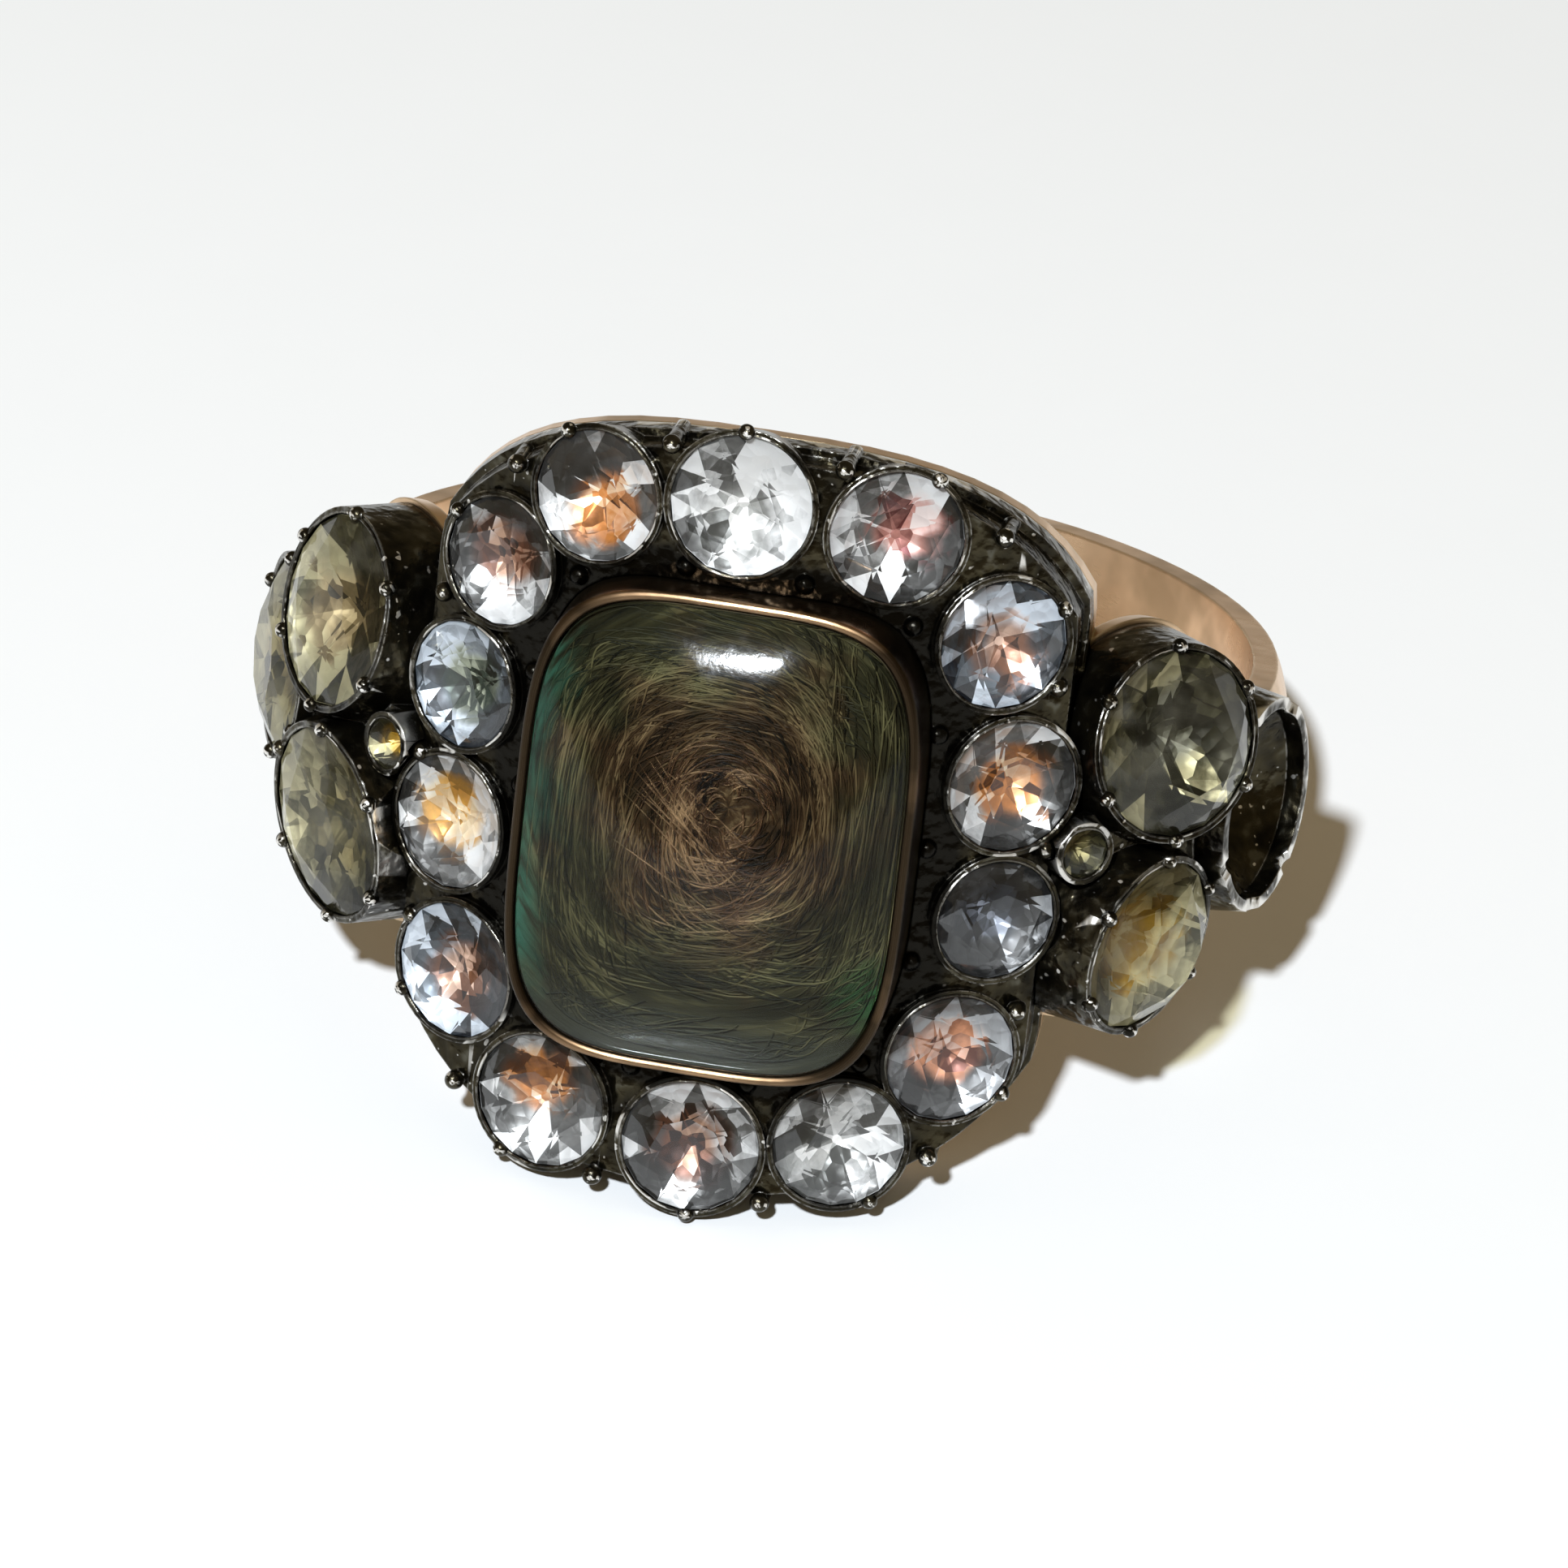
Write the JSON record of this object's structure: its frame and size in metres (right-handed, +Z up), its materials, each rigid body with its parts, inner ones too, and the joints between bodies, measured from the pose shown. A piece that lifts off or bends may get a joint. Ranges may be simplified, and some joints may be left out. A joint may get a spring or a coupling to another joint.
{
  "type": "mourning ring",
  "caption": "Gold and silver mourning ring with a domed crystal over hair, a halo of cut stones and trefoil shoulders, lying on its side.",
  "frame": {"origin": "on the floor under the middle of the ring's box as it lies on its side; the finger's axis passes 1.51 mm behind it and 4.28 mm above it", "axes": "+Z up from the floor; the head faces -Y and a little upwards, with the finger's axis leaning back from +Z by 18.4 degrees; +X to the right as seen from the head's front"},
  "size_m": [0.0213, 0.0222, 0.0152],
  "materials": {
    "rose_gold": "worn, softly polished rose gold",
    "oxidised_silver": "blackened silver, worn bright on grains and rims",
    "hair": "curled hair laid in a swirl, browned and dull green",
    "crystal": "polished domed crystal",
    "white_paste": "facetted clear paste over worn foil",
    "cloudy_paste": "facetted clouded paste over browned foil"
  },
  "bodies": {
    "root": {"band": "rose_gold", "head_setting": "oxidised_silver", "hair_collar": "rose_gold", "hair_pad": "hair", "crystal": "crystal", "left_shoulder_setting": "oxidised_silver", "right_shoulder_setting": "oxidised_silver", "halo_stone_01": "white_paste", "halo_stone_02": "white_paste", "halo_stone_03": "white_paste", "halo_stone_04": "white_paste", "halo_stone_05": "white_paste", "halo_stone_06": "white_paste", "halo_stone_07": "white_paste", "halo_stone_08": "white_paste", "halo_stone_09": "white_paste", "halo_stone_10": "white_paste", "halo_stone_11": "white_paste", "halo_stone_12": "white_paste", "halo_stone_13": "white_paste", "halo_stone_14": "white_paste", "left_stone_upper": "cloudy_paste", "left_stone_lower": "cloudy_paste", "left_stone_outer": "cloudy_paste", "left_stone_small": "cloudy_paste", "right_stone_upper": "cloudy_paste", "right_stone_lower": "cloudy_paste", "right_stone_small": "cloudy_paste"}
  },
  "joints": []
}
